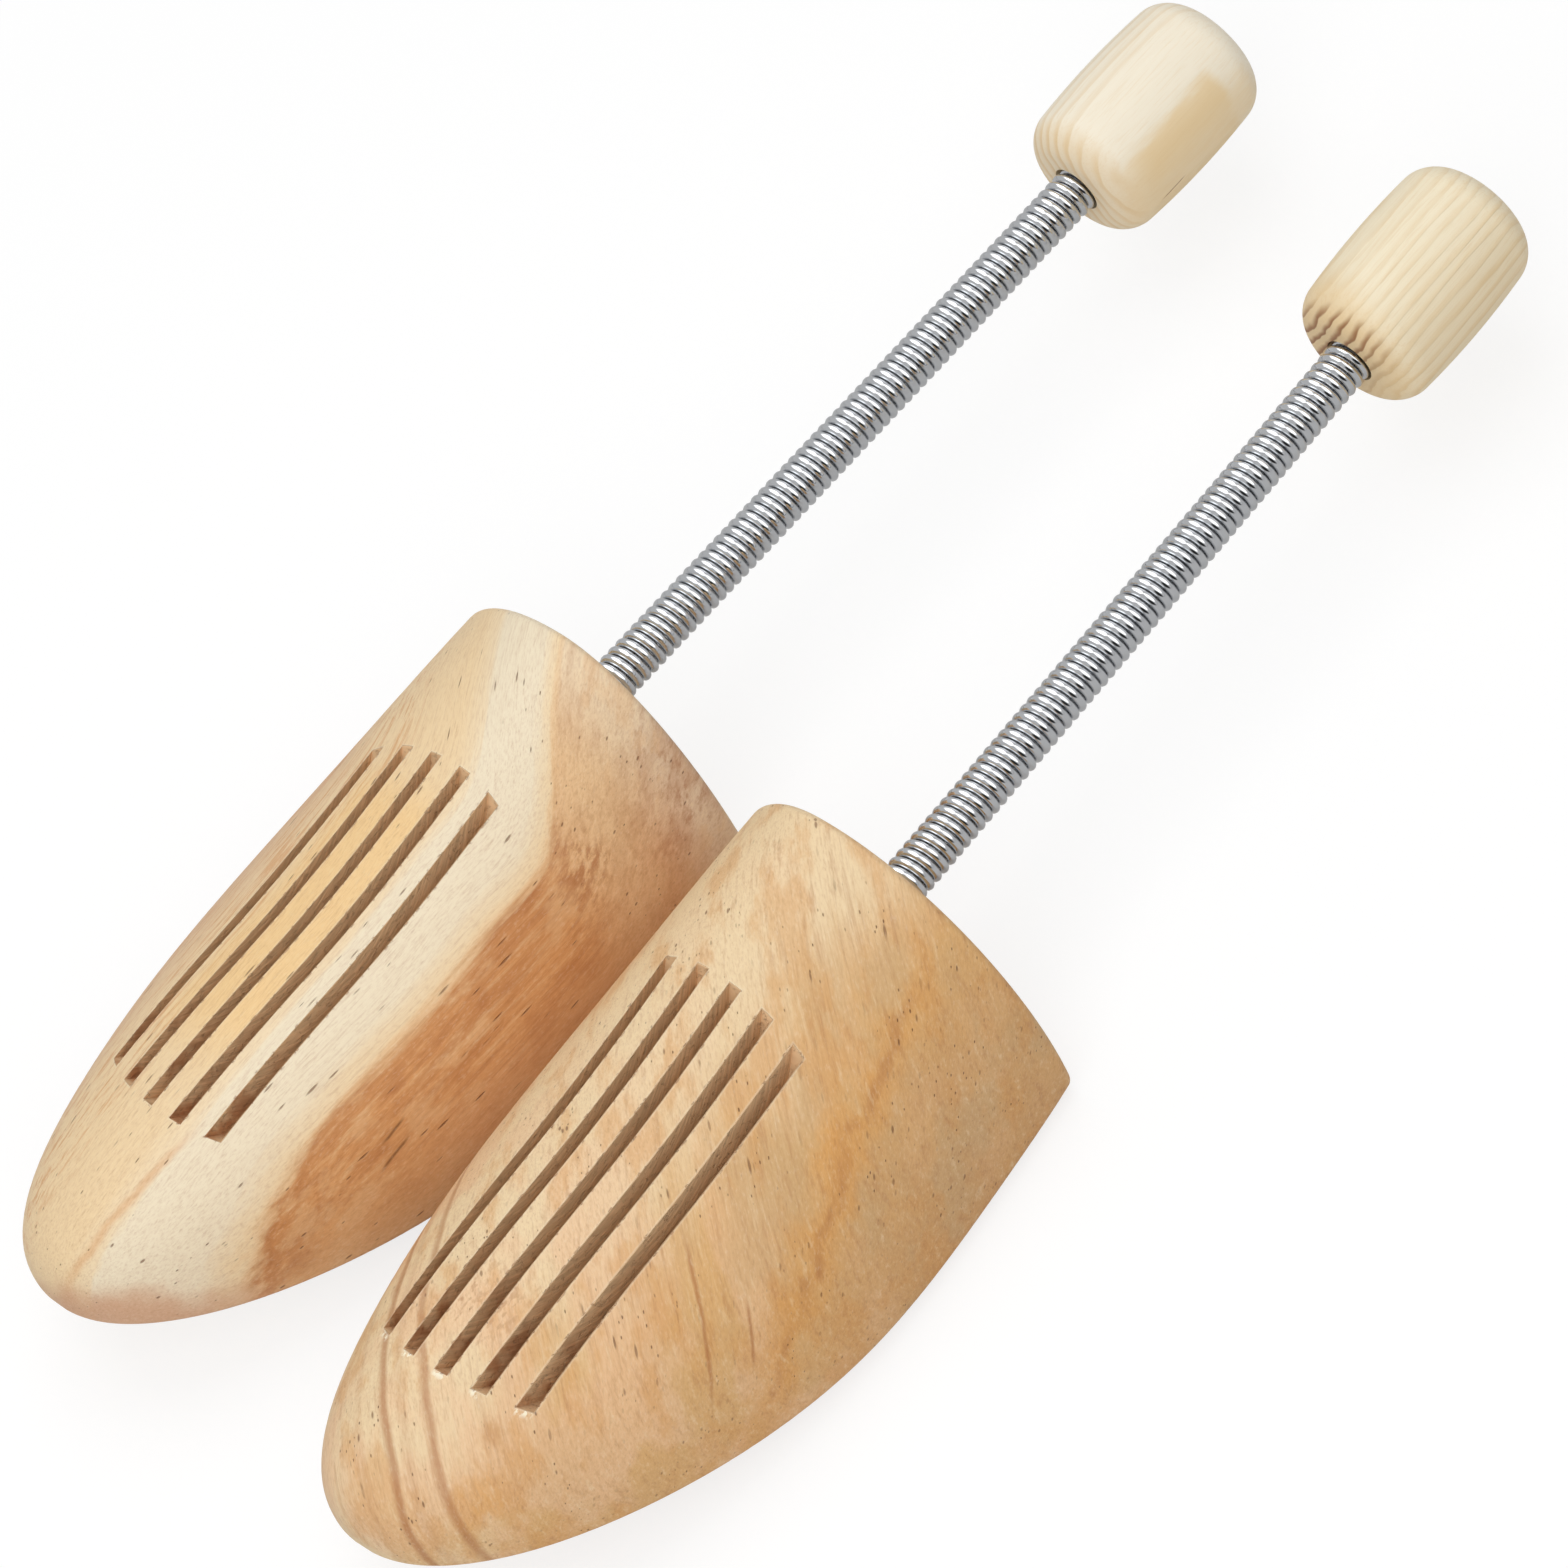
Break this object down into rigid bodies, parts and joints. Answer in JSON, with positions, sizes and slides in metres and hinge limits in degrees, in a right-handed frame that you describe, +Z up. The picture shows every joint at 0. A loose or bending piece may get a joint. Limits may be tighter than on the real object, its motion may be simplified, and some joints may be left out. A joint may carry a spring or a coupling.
{
  "type": "shoe tree",
  "caption": "Wooden spring shoe trees for a left and a right shoe: slotted toe block, coil spring and turned heel knob that stretch a shoe and keep its shape.",
  "frame": {"origin": "middle of the box round the two trees, on the plane that the soles rest on", "axes": "+Y from the toes to the heels, +X towards the wearer's left tree, +Z up"},
  "size_m": [0.1522, 0.3055, 0.0537],
  "materials": {
    "left_block_wood": "sanded, unlacquered, golden tan",
    "right_block_wood": "sanded, unlacquered, cream with a brown heartwood band",
    "left_knob_wood": "turned and sanded, striped",
    "right_knob_wood": "turned and sanded, pale",
    "peg_wood": "rough dowel",
    "spring_steel": "bright plated wire",
    "nail_steel": "bright drawn wire"
  },
  "bodies": {
    "left_front": {"left_toe_block": "left_block_wood", "left_toe_peg": "peg_wood", "left_toe_nail": "nail_steel", "left_spring": "spring_steel"},
    "left_heel": {"left_heel_knob": "left_knob_wood", "left_heel_peg": "peg_wood", "left_heel_nail": "nail_steel"},
    "right_front": {"right_toe_block": "right_block_wood", "right_toe_peg": "peg_wood", "right_toe_nail": "nail_steel", "right_spring": "spring_steel"},
    "right_heel": {"right_heel_knob": "right_knob_wood", "right_heel_peg": "peg_wood", "right_heel_nail": "nail_steel"}
  },
  "joints": [
    {"name": "left_knob_swing", "type": "hinge", "parent": "left_front", "child": "left_heel", "pos_m": [0.03502, 0.04701, 0.028], "axis": [0.9998, 0.0222, 0], "range_deg": [-8, 70], "stiffness_Nm_per_rad": 0.35, "deforming": ["left_spring"]},
    {"name": "right_knob_swing", "type": "hinge", "parent": "right_front", "child": "right_heel", "pos_m": [-0.03502, 0.05191, 0.028], "axis": [0.9998, -0.0222, 0], "range_deg": [-8, 70], "stiffness_Nm_per_rad": 0.35, "deforming": ["right_spring"]},
    {"name": "right_tree_lift", "type": "slide", "parent": "left_front", "child": "right_front", "axis": [0, 0, 1], "range_m": [0, 0.12]}
  ]
}
